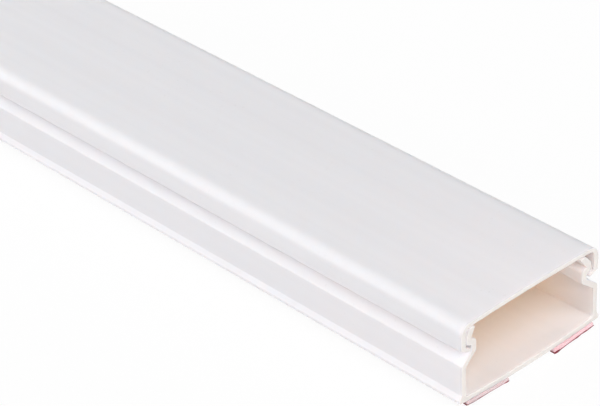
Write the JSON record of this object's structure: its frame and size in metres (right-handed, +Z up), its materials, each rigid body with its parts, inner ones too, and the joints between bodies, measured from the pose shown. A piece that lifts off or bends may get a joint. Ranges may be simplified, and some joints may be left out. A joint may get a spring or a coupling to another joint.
{
  "type": "cord cover raceway",
  "caption": "Plastic cord cover raceway: a channel base with foam tape underneath and a cover that snaps in, which hides and protects cables run along a wall or floor edge.",
  "frame": {"origin": "middle of the footprint, on the ground that the inner edges of the release films lie on", "axes": "+Y along the raceway, away from the end shown in the picture; +Z up through the cover; +X across it"},
  "size_m": [0.0412, 0.4, 0.0202],
  "materials": {
    "base_pvc": "satin white",
    "cover_pvc": "satin white",
    "foam_tape": "matte foam",
    "release_film": "glossy red film"
  },
  "bodies": {
    "base": {"base_channel": "base_pvc", "foam_tape_left": "foam_tape", "foam_tape_right": "foam_tape", "release_film_left": "release_film", "release_film_right": "release_film"},
    "cover": {"snap_cover": "cover_pvc"}
  },
  "joints": [
    {"name": "cover_slide", "type": "slide", "parent": "base", "child": "cover", "axis": [0, 1, 0], "range_m": [-0.35, 0.35]}
  ]
}
